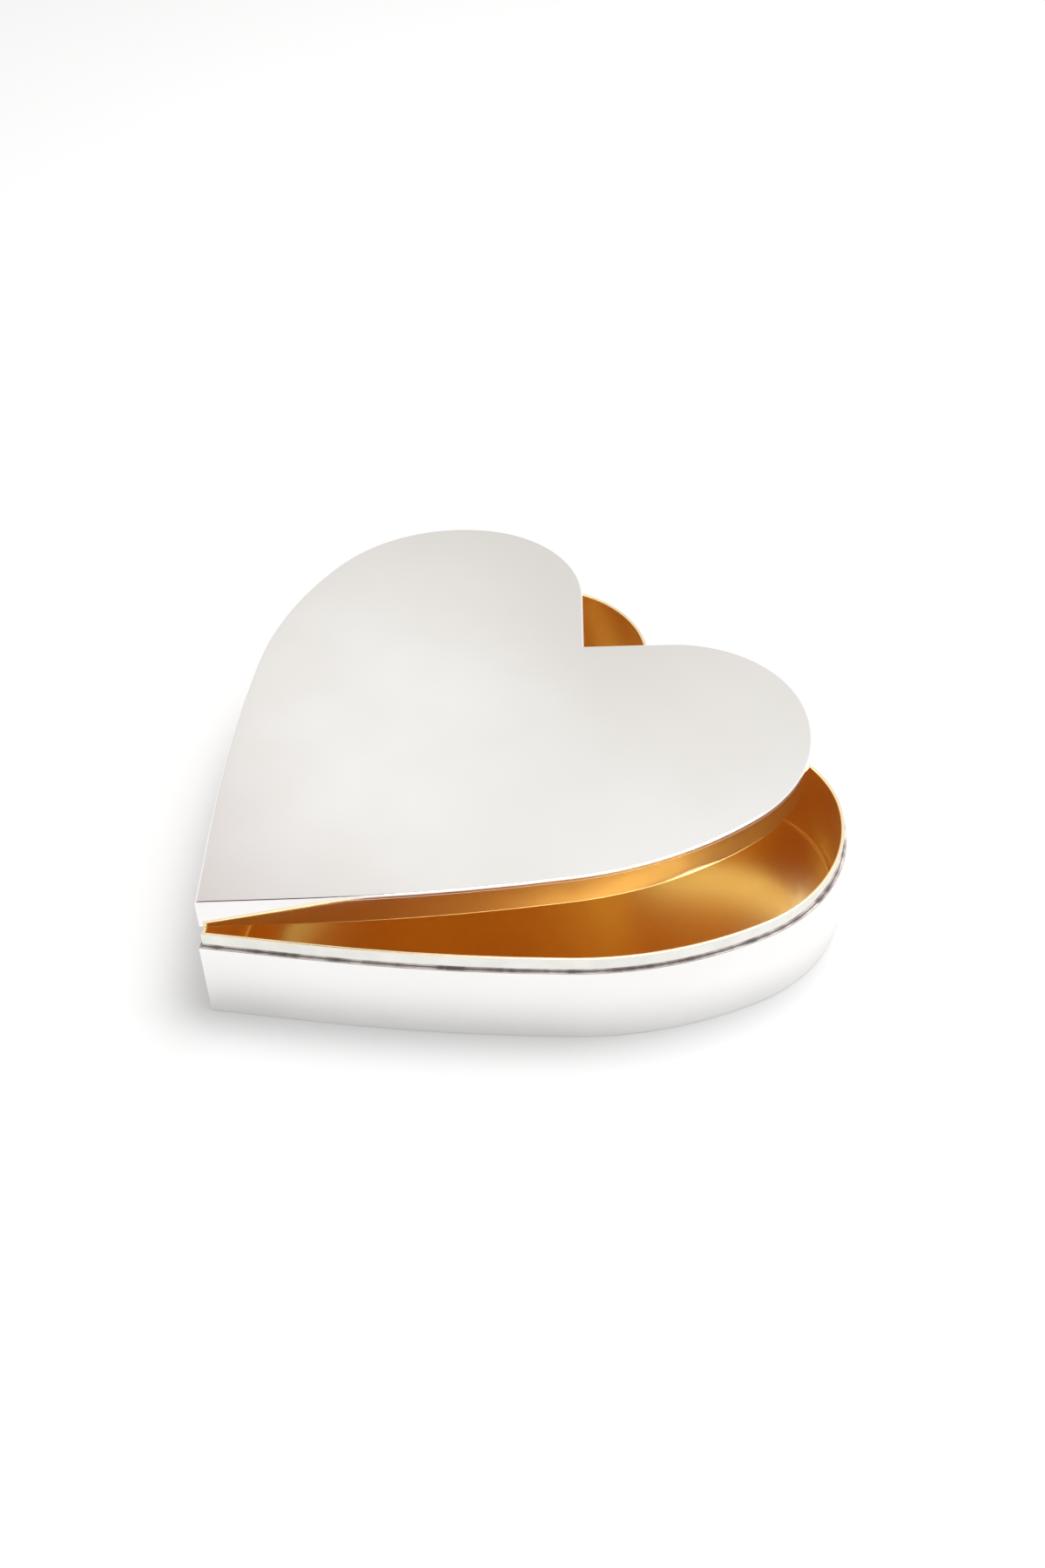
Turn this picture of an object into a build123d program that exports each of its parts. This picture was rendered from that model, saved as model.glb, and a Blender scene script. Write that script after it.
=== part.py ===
from build123d import *
import os
from math import cos, sin, radians

# Heart-shaped box of polished sheet metal with a gilt tray and a lift-off lid.
# Millimetres. +Z is up and +Y runs along the heart's axis, from its tip to its notch.
# The origin is on the underside, on the axis, midway between the tip and the tops of the lobes.
# The lid lies askew on the tray's rim: that is how the box is shown and stored here.

# Driving dimensions of the heart, which is the same on both sides of its axis.
# From the tip, each side runs straight, bows outward through tangent arcs, and ends straight.
heart_width = 110.0
tip_heading = 45.8          # degrees from +X at which the right side leaves the tip
bow_radius = 347.0
bow_turn = 7.5
shoulder_radius = 68.0
shoulder_turn = 29.4
lobe_radius = 29.6
lobe_turn = 65.1
crown_radius = 23.6
crown_turn = 77.5

# Heights, all above the surface that the box stands on.
step_height = 16.0          # top of the outer wall, where the closed lid seats
rim_height = 18.8           # top of the tray's wall, which stands up inside the step

# Sheet thicknesses.
wall_gauge = 0.55
tray_gauge = 0.65
bottom_gauge = 1.2
lid_top_gauge = 0.7

# Lid.
lid_height = 5.9
lid_overhang = 0.5          # how far the lid stands out past the base all round
lid_clearance = 0.15        # between the lid's wall and the tray's rim when the lid is seated
lid_edge_radius = 0.5       # rounding of the lid's upper edge
lid_turn = 10.6             # degrees that the lid lies turned from the base, seen from above
lid_shift_x = -1.6          # where the lid's tip lies, measured from the base's tip
lid_shift_y = 2.1
lid_rest_gap = 0.05         # between the lid's lower edge and the rim

arcs = [
    (bow_radius, bow_turn),
    (shoulder_radius, shoulder_turn),
    (lobe_radius, lobe_turn),
    (crown_radius, crown_turn),
]
notch_heading = tip_heading + sum(turn for radius, turn in arcs)
lid_wall_gauge = lid_overhang + wall_gauge - lid_clearance
tray_inset = wall_gauge + tray_gauge


def along(point, heading, distance):
    """The point that lies a distance from another, along a heading in degrees."""
    x, y = point
    return (x + distance * cos(radians(heading)), y + distance * sin(radians(heading)))


def arc_centres(side_run):
    """Centres of the right side's arcs, when the straight from the tip is side_run long."""
    point = along((0, 0), tip_heading, side_run)
    heading = tip_heading
    centres = []
    for radius, turn in arcs:
        centre = along(point, heading + 90, radius)
        centres.append(centre)
        heading += turn
        point = along(centre, heading - 90, radius)
    return centres


def widest_arc():
    """Number of the arc on which the side runs along +Y, so that it is widest there."""
    heading = tip_heading
    for number, (radius, turn) in enumerate(arcs):
        heading += turn
        if heading >= 90:
            return number


# The straight from the tip is as long as the heart's width needs.
widest = widest_arc()
width_without_straight = arc_centres(0)[widest][0] + arcs[widest][0]
side_run = (heart_width / 2 - width_without_straight) / cos(radians(tip_heading))
centres = arc_centres(side_run)
heart_length = centres[-1][1] + crown_radius
notch_x, notch_y = along(centres[-1], notch_heading - 90, crown_radius)
notch_run = -notch_x / cos(radians(notch_heading))
notch = along((notch_x, notch_y), notch_heading, notch_run)


def side_edges(inset):
    """Edges of the heart's right side, from tip to notch, drawn inset from the outline."""
    tip_corner = (0, inset / cos(radians(tip_heading)))
    notch_corner = (0, notch[1] + inset / cos(radians(notch_heading)))
    heading = tip_heading
    bends = []
    for (radius, turn), centre in zip(arcs, centres):
        bends.append(CenterArc(centre, radius - inset, heading - 90, turn))
        heading += turn
    first = Line(tip_corner, bends[0] @ 0)
    last = Line(bends[-1] @ 1, notch_corner)
    return [first] + bends + [last]


def heart_plate(inset, low, high):
    """Flat heart-shaped plate between two heights."""
    right = side_edges(inset)
    left = [edge.mirror(Plane.YZ) for edge in right]
    face = make_face(Wire(right + left))
    return extrude(Pos(0, 0, low) * face, amount=high - low, dir=(0, 0, 1))


def half_band(inset, gauge, low, high):
    """Right half of an upright band of sheet, mitred on the heart's axis at tip and notch."""
    outer = side_edges(inset)
    inner = side_edges(inset + gauge)
    tip_joint = Line(inner[0] @ 0, outer[0] @ 0)
    notch_joint = Line(outer[-1] @ 1, inner[-1] @ 1)
    face = make_face(Wire(outer + [notch_joint] + inner + [tip_joint]))
    return extrude(Pos(0, 0, low) * face, amount=high - low, dir=(0, 0, 1))


def add_band(nodes, name, place, inset, gauge, low, high):
    """Put both halves of a band into nodes, as name_right and name_left."""
    right = half_band(inset, gauge, low, high)
    nodes[name + "_right"] = place * right
    nodes[name + "_left"] = place * mirror(right, about=Plane.YZ)


def base_nodes(place):
    """Outer wall and bottom of the base, with the gilt tray inside them."""
    floor_height = bottom_gauge + tray_gauge
    nodes = {}
    add_band(nodes, "base_wall", place, 0, wall_gauge, 0, step_height)
    nodes["base_bottom_plate"] = place * heart_plate(wall_gauge, 0, bottom_gauge)
    add_band(nodes, "tray_wall", place, wall_gauge, tray_gauge, bottom_gauge, rim_height)
    nodes["tray_floor"] = place * heart_plate(tray_inset, bottom_gauge, floor_height)
    return nodes


def lid_nodes(place):
    """Lid's wall and top plate, with the lid's lower edge at height 0 before it is placed."""
    plate_height = lid_height - lid_top_gauge
    plate = heart_plate(-lid_overhang, plate_height, lid_height)
    plate = fillet(plate.faces().sort_by(Axis.Z)[-1].edges(), lid_edge_radius)
    nodes = {}
    add_band(nodes, "lid_wall", place, -lid_overhang, lid_wall_gauge, 0, plate_height)
    nodes["lid_top_plate"] = place * plate
    return nodes


base_place = Pos(0, -heart_length / 2, 0)
lid_rest_height = rim_height + lid_rest_gap
lid_place = Pos(lid_shift_x, lid_shift_y - heart_length / 2, lid_rest_height) * Rot(0, 0, lid_turn)
nodes = base_nodes(base_place) | lid_nodes(lid_place)

os.makedirs("parts", exist_ok=True)
for name, shape in nodes.items():
    export_step(shape, f"parts/{name}.step")
print(f"heart {heart_width:.2f} wide, {heart_length:.2f} long, {notch[1]:.2f} from tip to notch")
print(f"straight from the tip {side_run:.2f}, straight to the notch {notch_run:.2f}")
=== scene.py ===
from math import cos, radians, sin

import bmesh
import bpy
from mathutils import Matrix, Vector


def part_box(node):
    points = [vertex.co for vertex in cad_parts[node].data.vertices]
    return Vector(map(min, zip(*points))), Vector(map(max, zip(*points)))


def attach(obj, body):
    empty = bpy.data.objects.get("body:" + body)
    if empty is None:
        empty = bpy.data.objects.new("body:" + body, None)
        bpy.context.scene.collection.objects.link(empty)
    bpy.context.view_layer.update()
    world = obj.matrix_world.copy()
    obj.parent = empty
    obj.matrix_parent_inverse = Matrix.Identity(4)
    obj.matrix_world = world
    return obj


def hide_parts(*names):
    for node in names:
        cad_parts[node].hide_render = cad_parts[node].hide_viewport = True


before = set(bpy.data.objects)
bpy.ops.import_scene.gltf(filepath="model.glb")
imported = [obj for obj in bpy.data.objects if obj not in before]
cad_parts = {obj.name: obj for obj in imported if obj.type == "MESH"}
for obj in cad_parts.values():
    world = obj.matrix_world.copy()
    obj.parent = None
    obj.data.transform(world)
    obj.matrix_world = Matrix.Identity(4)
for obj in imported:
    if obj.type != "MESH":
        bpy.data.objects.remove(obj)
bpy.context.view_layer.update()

MM = 0.001

# The heart's outline, as in the CAD model: straight from the tip, tangent arcs, straight to the notch.
HEART_WIDTH = 110.0 * MM
TIP_HEADING = 45.8
ARCS = [
    (347.0 * MM, 7.5),
    (68.0 * MM, 29.4),
    (29.6 * MM, 65.1),
    (23.6 * MM, 77.5),
]
NOTCH_HEADING = TIP_HEADING + sum(turn for radius, turn in ARCS)
ARC_STEP = 1.5              # degrees between the points of an arc
STRAIGHT_STEPS = 24

# Sheet thicknesses.
WALL_GAUGE = 0.55 * MM
TRAY_GAUGE = 0.65 * MM
TRAY_INSET = WALL_GAUGE + TRAY_GAUGE

# Lid: how far it stands out past the base, and how it lies on the rim.
LID_OVERHANG = 0.5 * MM
LID_WALL_GAUGE = 0.9 * MM
LID_TURN = 10.6
LID_SHIFT = Vector((-1.6 * MM, 2.1 * MM, 0.0))

# Heights, from the frame.
BASE_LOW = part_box("base_wall_right")[0].z
STEP_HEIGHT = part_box("base_wall_right")[1].z
TRAY_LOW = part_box("tray_wall_right")[0].z
FLOOR_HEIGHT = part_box("tray_floor")[1].z
RIM_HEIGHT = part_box("tray_wall_right")[1].z
LID_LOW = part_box("lid_wall_right")[0].z
LID_PLATE_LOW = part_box("lid_top_plate")[0].z
LID_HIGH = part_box("lid_top_plate")[1].z

# Rounding of the sheet's edges, and the cove of solder round the tray's floor.
WALL_ROUND = 0.12 * MM
RIM_ROUND = 0.22 * MM
LID_ROLL_WIDTH = 0.45 * MM  # the polished lid rolls off towards its edge
LID_ROLL_DROP = 0.25 * MM
LID_LOWER_ROUND = 0.25 * MM
SEAM_ROUND = 0.04 * MM
FLOOR_COVE = 0.7 * MM
COVE_BITE = 0.02 * MM       # how far the cove's edge is sunk into the wall
ROUND_STEPS = 5
ROLL_STEPS = 12

# Faces that meet at more than this, in degrees, keep a sharp edge between them.
SHARP_ANGLE = 40

# Flat faces are closed by rings that shrink to a hub, which lies at a share of the way to the notch.
HUB_SHARE = 0.55
RING_SHARES = [0.97, 0.85, 0.65, 0.4, 0.15]

# Material slots of the pieces.
SILVER = 0
GILT = 1
PALE_GILT = 2


# ---------------------------------------------------------------- outline

def along(point, heading, distance):
    """The point that lies a distance from another, along a heading in degrees."""
    return point + distance * Vector((cos(radians(heading)), sin(radians(heading))))


def arc_points(side_run):
    """Points and headings along the right side's arcs, when the straight before them is side_run long."""
    point = along(Vector((0, 0)), TIP_HEADING, side_run)
    heading = TIP_HEADING
    points = [(point, heading)]
    for radius, turn in ARCS:
        centre = along(point, heading + 90, radius)
        steps = max(2, round(turn / ARC_STEP))
        for step in range(1, steps + 1):
            at = heading + turn * step / steps
            points.append((along(centre, at - 90, radius), at))
        heading += turn
        point = points[-1][0]
    return points


def straight(start, end):
    """Points between two ends, without the ends themselves."""
    return [start.lerp(end, step / STRAIGHT_STEPS) for step in range(1, STRAIGHT_STEPS)]


def width_of(points):
    return 2 * max(point.x for point, heading in points)


SIDE_RUN = (HEART_WIDTH - width_of(arc_points(0))) / 2 / cos(radians(TIP_HEADING))
SIDE_ARCS = arc_points(SIDE_RUN)
HEART_LENGTH = max(point.y for point, heading in SIDE_ARCS)
NOTCH_RUN = -SIDE_ARCS[-1][0].x / cos(radians(NOTCH_HEADING))
NOTCH = along(SIDE_ARCS[-1][0], NOTCH_HEADING, NOTCH_RUN)


def side_points(inset):
    """The heart's right side from tip to notch, drawn inset from the outline."""
    tip = Vector((0, inset / cos(radians(TIP_HEADING))))
    notch = Vector((0, NOTCH.y + inset / cos(radians(NOTCH_HEADING))))
    bend = [along(point, heading + 90, inset) for point, heading in SIDE_ARCS]
    return [tip] + straight(tip, bend[0]) + bend + straight(bend[-1], notch) + [notch]


def heart_points(inset):
    """The whole outline, anticlockwise from the tip."""
    right = side_points(inset)
    left = [Vector((-point.x, point.y)) for point in reversed(right[1:-1])]
    return right + left


# ---------------------------------------------------------------- meshes

def rounded_section(outer, inner, low, high, roundings, tags):
    """Closed section of a band as (inset, height, material), from the outer lower corner upward.

    roundings are the radii of the outer lower, outer upper, inner upper and inner lower corners, and
    tags the materials of the outer, top, inner and bottom faces."""
    corners = [(outer, low, 1, 1), (outer, high, 1, -1), (inner, high, -1, -1), (inner, low, -1, 1)]
    section = []
    for number, (inset, height, inward, upward) in enumerate(corners):
        radius = roundings[number]
        start = 270 - 90 * number
        for step in range(ROUND_STEPS + 1):
            angle = radians(start - 90 * step / ROUND_STEPS)
            across = inset + radius * (inward + cos(angle))
            section.append((across, height + radius * (upward + sin(angle)), tags[number]))
    return section


def new_object(name, mesh_builder, materials, body, slot, *nodes):
    """Turn a bmesh into a piece that rides on a body and stands for its CAD nodes."""
    mesh = bpy.data.meshes.new(name)
    bmesh.ops.recalc_face_normals(mesh_builder, faces=mesh_builder.faces)
    for face in mesh_builder.faces:
        face.smooth = True
    mesh_builder.to_mesh(mesh)
    mesh_builder.free()
    mesh.set_sharp_from_angle(angle=radians(SHARP_ANGLE))
    piece = bpy.data.objects.new(name, mesh)
    bpy.context.scene.collection.objects.link(piece)
    for material in materials:
        mesh.materials.append(material)
    weighted = piece.modifiers.new("weighted_normals", "WEIGHTED_NORMAL")
    weighted.keep_sharp = True
    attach(piece, body)
    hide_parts(*nodes)
    return piece


def half_band(section, side, place):
    """Half a band of sheet swept along one side of the heart, closed by a mitre at tip and notch."""
    builder = bmesh.new()
    rows = []
    for inset, height, tag in section:
        row = []
        for point in side_points(inset):
            row.append(builder.verts.new(place @ Vector((side * point.x, point.y, height))))
        rows.append(row)
    count = len(rows[0])
    for number, row in enumerate(rows):
        following = rows[(number + 1) % len(rows)]
        for step in range(count - 1):
            corners = (row[step], row[step + 1], following[step + 1], following[step])
            face = builder.faces.new(corners)
            face.material_index = section[number][2]
    builder.faces.new([row[0] for row in rows])
    builder.faces.new([row[-1] for row in rows])
    return builder


def rolled_rings(outer, low, high, roll_width, roll_drop):
    """Edge of a flat plate as (inset, height), from its lower face to its upper one."""
    rings = [(outer + SEAM_ROUND, low), (outer, low + SEAM_ROUND)]
    for step in range(ROLL_STEPS + 1):
        angle = radians(90 * step / ROLL_STEPS)
        rings.append((outer + roll_width * (1 - cos(angle)), high - roll_drop * (1 - sin(angle))))
    return rings


def coved_rings(outer, low, high, cove):
    """Edge of a floor that turns up the wall round it in a small cove, as (inset, height)."""
    rings = [(outer, low)]
    for step in range(ROUND_STEPS + 1):
        angle = radians(180 + 90 * step / ROUND_STEPS)
        rings.append((outer + cove * (1 + cos(angle)), high + cove * (1 + sin(angle))))
    return rings


def heart_plate(rings, place, top_tag, bottom_tag):
    """Flat heart between the first and the last of its rings."""
    builder = bmesh.new()
    rows = []
    for inset, height in rings:
        points = heart_points(inset)
        rows.append([builder.verts.new(place @ Vector((p.x, p.y, height))) for p in points])
    for row, following in zip(rows, rows[1:]):
        for step in range(len(row)):
            after = (step + 1) % len(row)
            face = builder.faces.new((row[step], row[after], following[after], following[step]))
            face.material_index = top_tag
    fill(builder, rows[-1], place, rings[-1][1], top_tag)
    fill(builder, rows[0], place, rings[0][1], bottom_tag)
    return builder


def fill(builder, rim, place, height, tag):
    """Close a flat heart with rings that shrink towards a point from which all of its edge is in view."""
    middle = place @ Vector((0, NOTCH.y * HUB_SHARE, height))
    row = rim
    for share in RING_SHARES:
        following = [builder.verts.new(middle.lerp(vertex.co, share)) for vertex in rim]
        for step in range(len(row)):
            after = (step + 1) % len(row)
            face = builder.faces.new((row[step], row[after], following[after], following[step]))
            face.material_index = tag
        row = following
    hub = builder.verts.new(middle)
    for step in range(len(row)):
        after = (step + 1) % len(row)
        face = builder.faces.new((row[step], row[after], hub))
        face.material_index = tag


# ---------------------------------------------------------------- materials

# Each metal clouds over between two colours.
SILVER_COLOURS = [(0.93, 0.924, 0.916), (0.905, 0.892, 0.877)]
GILT_COLOURS = [(1.0, 0.78, 0.39), (0.995, 0.75, 0.35)]
PALE_GILT_COLOURS = [(0.93, 0.84, 0.66), (0.89, 0.78, 0.57)]
FLOOR_COLOURS = [(0.67, 0.67, 0.67), (0.66, 0.66, 0.66)]
FLOOR_ROUGHNESS = 0.85

# Least and greatest roughness of each metal, and what fine scratches and tarnish add to it.
SILVER_ROUGHNESS = (0.06, 0.10)
GILT_ROUGHNESS = (0.30, 0.36)
GILT_FLOOR_ROUGHNESS = (0.19, 0.24)
PALE_GILT_ROUGHNESS = (0.16, 0.22)
SILVER_SCRATCHES = 0.03
GILT_SCRATCHES = 0.02
TARNISH_ROUGHNESS = 0.45

# Tarnish round the step. Each band of it has its lowest and highest reach from the step's height, how
# far it fades out beyond them, the scale of its cloudy patches and the least strength in them.
HAZE_COLOUR = (0.76, 0.75, 0.705)
STEP_COLOUR = (0.60, 0.53, 0.51)
LINE_COLOUR = (0.20, 0.17, 0.165)
HAZE_BAND = (0.05 * MM, RIM_HEIGHT - STEP_HEIGHT, 0.1 * MM, 150.0, 0.5)
STEP_BAND = (-0.06 * MM, 0.01 * MM, 0.02 * MM, 90.0, 0.7)
CORNER_BAND = (0.02 * MM, 0.10 * MM, 0.04 * MM, 60.0, 0.8)
EDGE_BAND = (-0.15 * MM, -0.09 * MM, 0.03 * MM, 70.0, 0.7)
RAGGED = 0.03 * MM          # how far the dark lines wander up and down


def new_material(name):
    material = bpy.data.materials.new(name)
    material.use_nodes = True
    tree = material.node_tree
    tree.nodes.clear()
    output = tree.nodes.new("ShaderNodeOutputMaterial")
    shader = tree.nodes.new("ShaderNodeBsdfPrincipled")
    tree.links.new(shader.outputs["BSDF"], output.inputs["Surface"])
    coordinates = tree.nodes.new("ShaderNodeTexCoord")
    return material, tree, shader, coordinates.outputs["Object"]


def noise(tree, vector, scale, detail=2.0, roughness=0.5):
    node = tree.nodes.new("ShaderNodeTexNoise")
    node.inputs["Scale"].default_value = scale
    node.inputs["Detail"].default_value = detail
    node.inputs["Roughness"].default_value = roughness
    tree.links.new(vector, node.inputs["Vector"])
    return node.outputs["Fac"]


def remap(tree, value, low, high, to_low, to_high):
    node = tree.nodes.new("ShaderNodeMapRange")
    node.inputs["From Min"].default_value = low
    node.inputs["From Max"].default_value = high
    node.inputs["To Min"].default_value = to_low
    node.inputs["To Max"].default_value = to_high
    tree.links.new(value, node.inputs["Value"])
    return node.outputs["Result"]


def spread(tree, value, low, high):
    """Stretch a noise, which seldom leaves 0.3 to 0.7, over a range."""
    return remap(tree, value, 0.3, 0.7, low, high)


def calculate(tree, operation, first, second):
    node = tree.nodes.new("ShaderNodeMath")
    node.operation = operation
    for socket, value in zip(node.inputs, (first, second)):
        if isinstance(value, (int, float)):
            socket.default_value = value
        else:
            tree.links.new(value, socket)
    return node.outputs["Value"]


def mix_colours(tree, factor, first, second):
    node = tree.nodes.new("ShaderNodeMix")
    node.data_type = "RGBA"
    tree.links.new(factor, node.inputs["Factor"])
    for socket, value in ((node.inputs[6], first), (node.inputs[7], second)):
        if isinstance(value, tuple):
            socket.default_value = value + (1.0,)
        else:
            tree.links.new(value, socket)
    return node.outputs[2]


def bump(tree, shader, height, strength, distance):
    node = tree.nodes.new("ShaderNodeBump")
    node.inputs["Strength"].default_value = strength
    node.inputs["Distance"].default_value = distance
    tree.links.new(height, node.inputs["Height"])
    tree.links.new(node.outputs["Normal"], shader.inputs["Normal"])


def height_of(tree, vector):
    node = tree.nodes.new("ShaderNodeSeparateXYZ")
    tree.links.new(vector, node.inputs["Vector"])
    return node.outputs["Z"]


def tarnish_band(tree, vector, level, low, high, fade, scale, least):
    """Strength of tarnish in one band of levels, in patches that go from the least strength to 1."""
    above = remap(tree, level, low - fade, low, 0.0, 1.0)
    below = remap(tree, level, high, high + fade, 1.0, 0.0)
    patches = remap(tree, noise(tree, vector, scale, detail=3.0, roughness=0.6), 0.35, 0.62, least, 1.0)
    return calculate(tree, "MULTIPLY", calculate(tree, "MULTIPLY", above, below), patches)


def step_tarnish(tree, vector, colour):
    """Darken a colour where polish never reaches, round the step that the closed lid seats on.

    A dark line runs in the corner where the tray's wall leaves the step and another along the step's
    outer edge, the step between them is brownish grey, and the wall above it has a dull grey haze."""
    level = calculate(tree, "SUBTRACT", height_of(tree, vector), STEP_HEIGHT)
    wander = spread(tree, noise(tree, vector, scale=350.0, detail=3.0), -RAGGED, RAGGED)
    ragged_level = calculate(tree, "ADD", level, wander)
    haze = tarnish_band(tree, vector, level, *HAZE_BAND)
    top = tarnish_band(tree, vector, level, *STEP_BAND)
    corner = tarnish_band(tree, vector, ragged_level, *CORNER_BAND)
    edge = tarnish_band(tree, vector, ragged_level, *EDGE_BAND)
    colour = mix_colours(tree, haze, colour, HAZE_COLOUR)
    colour = mix_colours(tree, top, colour, STEP_COLOUR)
    lines = calculate(tree, "MAXIMUM", corner, edge)
    return mix_colours(tree, lines, colour, LINE_COLOUR), calculate(tree, "MAXIMUM", lines, top)


def silver_material(name, tarnished):
    """Buffed silver plate: almost white, with faint buffing haze and, round the step, tarnish."""
    material, tree, shader, vector = new_material(name)
    shader.inputs["Metallic"].default_value = 1.0
    cloud = noise(tree, vector, scale=38.0)
    fine = noise(tree, vector, scale=1400.0, detail=3.0, roughness=0.6)
    warm = remap(tree, cloud, 0.35, 0.65, 0.0, 1.0)
    colour = mix_colours(tree, warm, *SILVER_COLOURS)
    broad = spread(tree, cloud, *SILVER_ROUGHNESS)
    roughness = calculate(tree, "ADD", broad, spread(tree, fine, 0.0, SILVER_SCRATCHES))
    if tarnished:
        colour, dark = step_tarnish(tree, vector, colour)
        dull = calculate(tree, "MULTIPLY", dark, TARNISH_ROUGHNESS)
        roughness = calculate(tree, "ADD", roughness, dull)
    tree.links.new(colour, shader.inputs["Base Color"])
    tree.links.new(roughness, shader.inputs["Roughness"])
    bump(tree, shader, noise(tree, vector, scale=55.0, detail=1.0), strength=0.05, distance=0.2 * MM)
    return material


def gilt_material(name, colours, roughness_range):
    """Gilt sheet: yellow gold with a soft satin sheen and faint cloudy wear."""
    material, tree, shader, vector = new_material(name)
    shader.inputs["Metallic"].default_value = 1.0
    cloud = noise(tree, vector, scale=70.0, detail=3.0)
    fine = noise(tree, vector, scale=700.0)
    colour = mix_colours(tree, spread(tree, cloud, 0.0, 1.0), *colours)
    broad = spread(tree, cloud, *roughness_range)
    roughness = calculate(tree, "ADD", broad, spread(tree, fine, 0.0, GILT_SCRATCHES))
    tree.links.new(colour, shader.inputs["Base Color"])
    tree.links.new(roughness, shader.inputs["Roughness"])
    bump(tree, shader, noise(tree, vector, scale=90.0, detail=1.0), strength=0.04, distance=0.1 * MM)
    return material


def floor_material():
    material, tree, shader, vector = new_material("pale_floor")
    cloud = noise(tree, vector, scale=6.0)
    colour = mix_colours(tree, cloud, *FLOOR_COLOURS)
    tree.links.new(colour, shader.inputs["Base Color"])
    shader.inputs["Roughness"].default_value = FLOOR_ROUGHNESS
    return material


silver = silver_material("silver", tarnished=False)
tarnished_silver = silver_material("tarnished_silver", tarnished=True)
gilt = gilt_material("gilt", GILT_COLOURS, GILT_ROUGHNESS)
gilt_floor = gilt_material("gilt_floor", GILT_COLOURS, GILT_FLOOR_ROUGHNESS)
pale_gilt = gilt_material("pale_gilt", PALE_GILT_COLOURS, PALE_GILT_ROUGHNESS)


# ---------------------------------------------------------------- pieces

BASE_PLACE = Matrix.Translation((0, -HEART_LENGTH / 2, 0))
LID_PLACE = BASE_PLACE @ Matrix.Translation(LID_SHIFT) @ Matrix.Rotation(radians(LID_TURN), 4, "Z")


def make_bands(name, section, place, materials, body, slot):
    """Both halves of a band, each standing for the CAD node of its side."""
    for side, word in ((1, "right"), (-1, "left")):
        node = f"{name}_{word}"
        builder = half_band(section, side, place)
        new_object(f"{node}_sheet", builder, materials, body, slot, node)


def make_base():
    wall = rounded_section(0, WALL_GAUGE, BASE_LOW, STEP_HEIGHT, [WALL_ROUND] * 4, [SILVER] * 4)
    make_bands("base_wall", wall, BASE_PLACE, [tarnished_silver], "base", "polished_silver")
    tray = rounded_section(
        WALL_GAUGE, TRAY_INSET, TRAY_LOW, RIM_HEIGHT, [RIM_ROUND] * 4, [SILVER, PALE_GILT, GILT, GILT]
    )
    make_bands("tray_wall", tray, BASE_PLACE, [tarnished_silver, gilt, pale_gilt], "base", "gilt")
    edge = rolled_rings(WALL_GAUGE, BASE_LOW, TRAY_LOW, SEAM_ROUND, SEAM_ROUND)
    bottom = heart_plate(edge, BASE_PLACE, SILVER, SILVER)
    new_object(
        "base_bottom_sheet", bottom, [tarnished_silver], "base", "polished_silver", "base_bottom_plate"
    )
    edge = coved_rings(TRAY_INSET - COVE_BITE, TRAY_LOW, FLOOR_HEIGHT, FLOOR_COVE)
    floor = heart_plate(edge, BASE_PLACE, GILT, GILT)
    new_object("tray_floor_sheet", floor, [silver, gilt_floor], "base", "gilt", "tray_floor")


def make_lid():
    metals = [silver, gilt]
    inner = LID_WALL_GAUGE - LID_OVERHANG
    roundings = [LID_LOWER_ROUND, SEAM_ROUND, SEAM_ROUND, LID_LOWER_ROUND]
    wall = rounded_section(
        -LID_OVERHANG, inner, LID_LOW, LID_PLATE_LOW, roundings, [SILVER, SILVER, GILT, SILVER]
    )
    make_bands("lid_wall", wall, LID_PLACE, metals, "lid", "polished_silver")
    edge = rolled_rings(-LID_OVERHANG, LID_PLATE_LOW, LID_HIGH, LID_ROLL_WIDTH, LID_ROLL_DROP)
    plate = heart_plate(edge, LID_PLACE, SILVER, GILT)
    new_object("lid_top_sheet", plate, metals, "lid", "polished_silver", "lid_top_plate")


make_base()
make_lid()


# ---------------------------------------------------------------- stage, light and camera

CAMERA_AZIMUTH = 57.43
CAMERA_ELEVATION = 42.18
CAMERA_ROLL = -2.63
CAMERA_DISTANCE = 371.3 * MM
CAMERA_TARGET = Vector((-16.3 * MM, 21.1 * MM, 0.0))
CAMERA_LENS = 43.34
SENSOR_WIDTH = 36.0
NEAREST_VIEW = 0.01

FLOOR_REACH = 3.0

# Overhead softbox: degrees round from the camera, elevation, distance, size in metres, and power.
OVERHEAD_TURN = 124
OVERHEAD_ELEVATION = 72
OVERHEAD_DISTANCE = 0.8
OVERHEAD_WIDTH = 0.5
OVERHEAD_HEIGHT = 0.4
OVERHEAD_POWER = 5.2


def toward(azimuth, elevation):
    """Direction from the object out to an azimuth and elevation, where azimuth 0 is the -Y side."""
    a, e = radians(azimuth), radians(elevation)
    return Vector((sin(a) * cos(e), -cos(a) * cos(e), sin(e)))


def make_camera():
    data = bpy.data.cameras.new("camera")
    data.lens = CAMERA_LENS
    data.sensor_width = SENSOR_WIDTH
    data.clip_start = NEAREST_VIEW
    camera = bpy.data.objects.new("camera", data)
    back = toward(CAMERA_AZIMUTH, CAMERA_ELEVATION)
    camera.location = CAMERA_TARGET + back * CAMERA_DISTANCE
    turn = (-back).to_track_quat("-Z", "Y").to_matrix().to_4x4()
    turn = turn @ Matrix.Rotation(radians(CAMERA_ROLL), 4, "Z")
    camera.rotation_euler = turn.to_euler()
    bpy.context.scene.collection.objects.link(camera)
    bpy.context.scene.camera = camera


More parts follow.
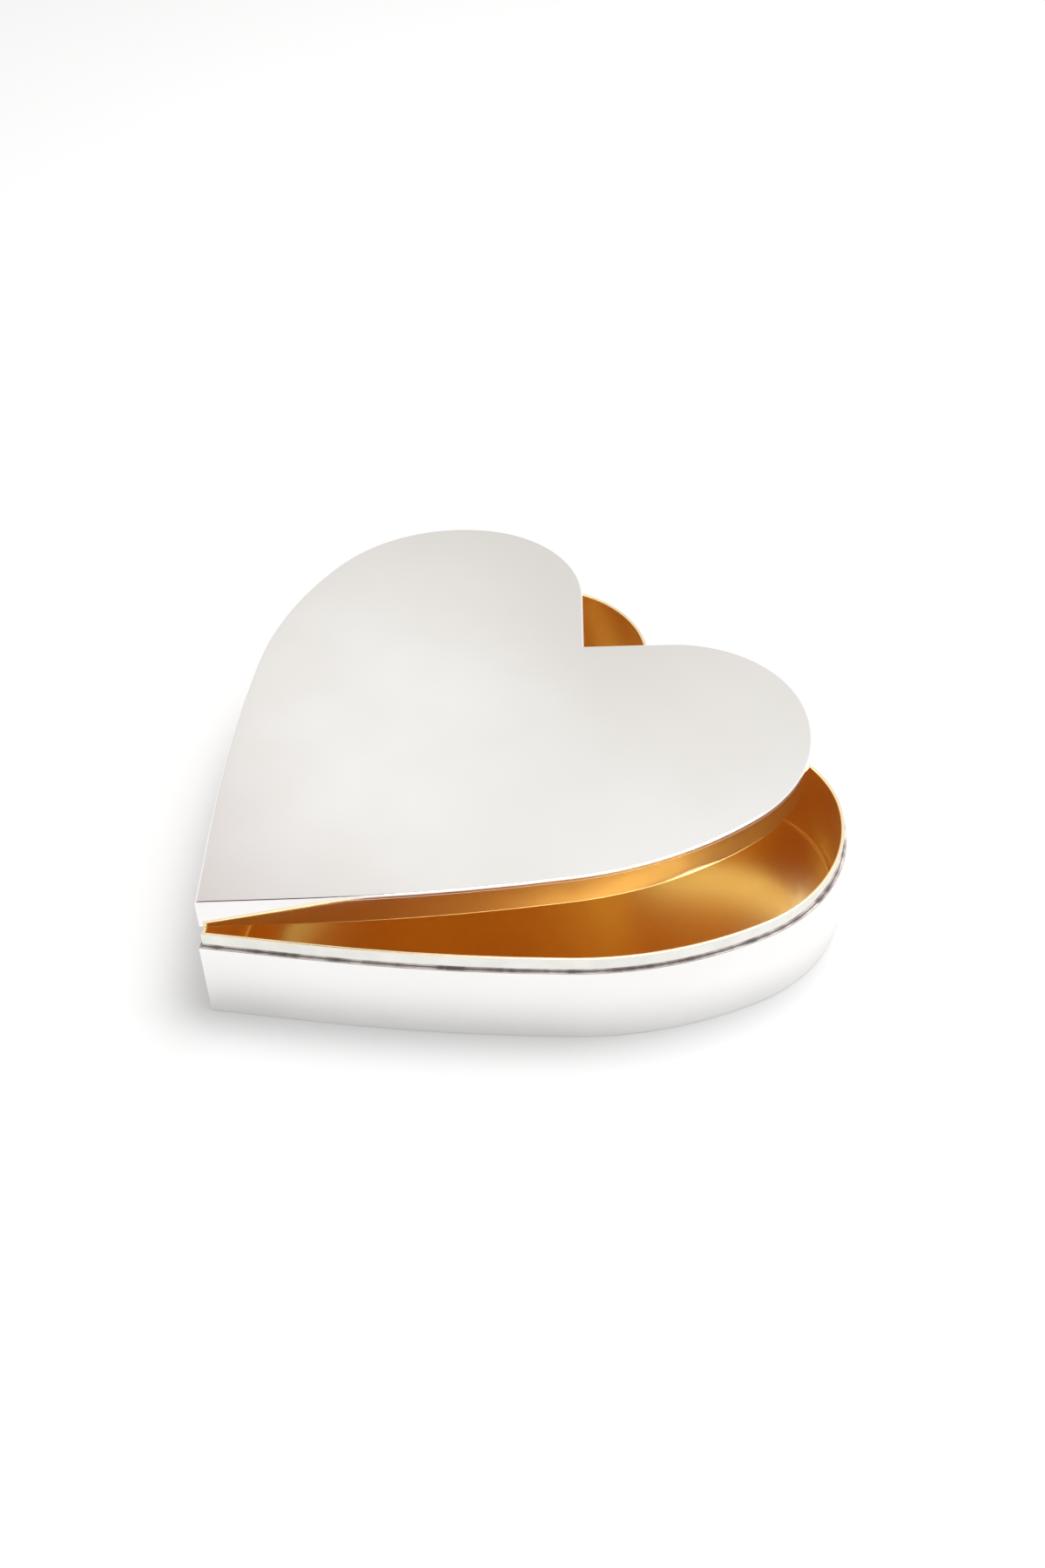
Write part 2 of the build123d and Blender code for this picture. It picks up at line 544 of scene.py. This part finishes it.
def make_floor():
    mesh = bpy.data.meshes.new("floor")
    corners = [(x * FLOOR_REACH, y * FLOOR_REACH, 0) for x, y in ((-1, -1), (1, -1), (1, 1), (-1, 1))]
    mesh.from_pydata(corners, [], [(0, 1, 2, 3)])
    floor = bpy.data.objects.new("floor", mesh)
    mesh.materials.append(floor_material())
    bpy.context.scene.collection.objects.link(floor)


def make_overhead():
    """Rectangular soft light that faces the object."""
    data = bpy.data.lights.new("overhead_box", "AREA")
    data.shape = "RECTANGLE"
    data.size = OVERHEAD_WIDTH
    data.size_y = OVERHEAD_HEIGHT
    data.energy = OVERHEAD_POWER
    light = bpy.data.objects.new("overhead_box", data)
    back = toward(CAMERA_AZIMUTH + OVERHEAD_TURN, OVERHEAD_ELEVATION)
    light.location = back * OVERHEAD_DISTANCE
    light.rotation_euler = (-back).to_track_quat("-Z", "Y").to_euler()
    bpy.context.scene.collection.objects.link(light)


# Patches of the studio's white surroundings that are duller than the rest: azimuth, elevation, half
# width where the patch is full and where it ends, in degrees, and its colour. The last two are the
# dark gaps that the lid's edge mirrors near its tip.
SKY = (1.0, 1.0, 1.0)
SKY_PATCHES = [
    (-118, 42, 8, 40, (0.83, 0.81, 0.785)),
    (-123, 33, 0, 9, (0.77, 0.745, 0.71)),
    (-107, 45, 0, 9, (0.75, 0.69, 0.68)),
    (-117, 41, 0, 7, (0.98, 0.97, 0.95)),
    (-129, 48, 0, 10, (0.97, 0.965, 0.94)),
    (-98, 72, 12, 24, (0.84, 0.82, 0.80)),
    (-88, 74, 5, 10, (0.14, 0.09, 0.10)),
    (-100, 60, 8, 14, (0.08, 0.05, 0.06)),
]


def make_world():
    world = bpy.data.worlds.new("studio")
    world.use_nodes = True
    tree = world.node_tree
    direction = tree.nodes.new("ShaderNodeTexCoord").outputs["Generated"]
    colour = SKY
    for azimuth, elevation, full, end, patch_colour in SKY_PATCHES:
        aligned = tree.nodes.new("ShaderNodeVectorMath")
        aligned.operation = "DOT_PRODUCT"
        aligned.inputs[1].default_value = toward(azimuth, elevation)
        tree.links.new(direction, aligned.inputs[0])
        share = remap(tree, aligned.outputs["Value"], cos(radians(end)), cos(radians(full)), 0.0, 1.0)
        colour = mix_colours(tree, share, colour, patch_colour)
    tree.links.new(colour, tree.nodes["Background"].inputs["Color"])
    bpy.context.scene.world = world


make_camera()
make_floor()
make_world()
make_overhead()

scene = bpy.context.scene
scene.view_settings.view_transform = "Standard"
scene.cycles.use_denoising = True
scene.cycles.max_bounces = 16
scene.cycles.glossy_bounces = 12
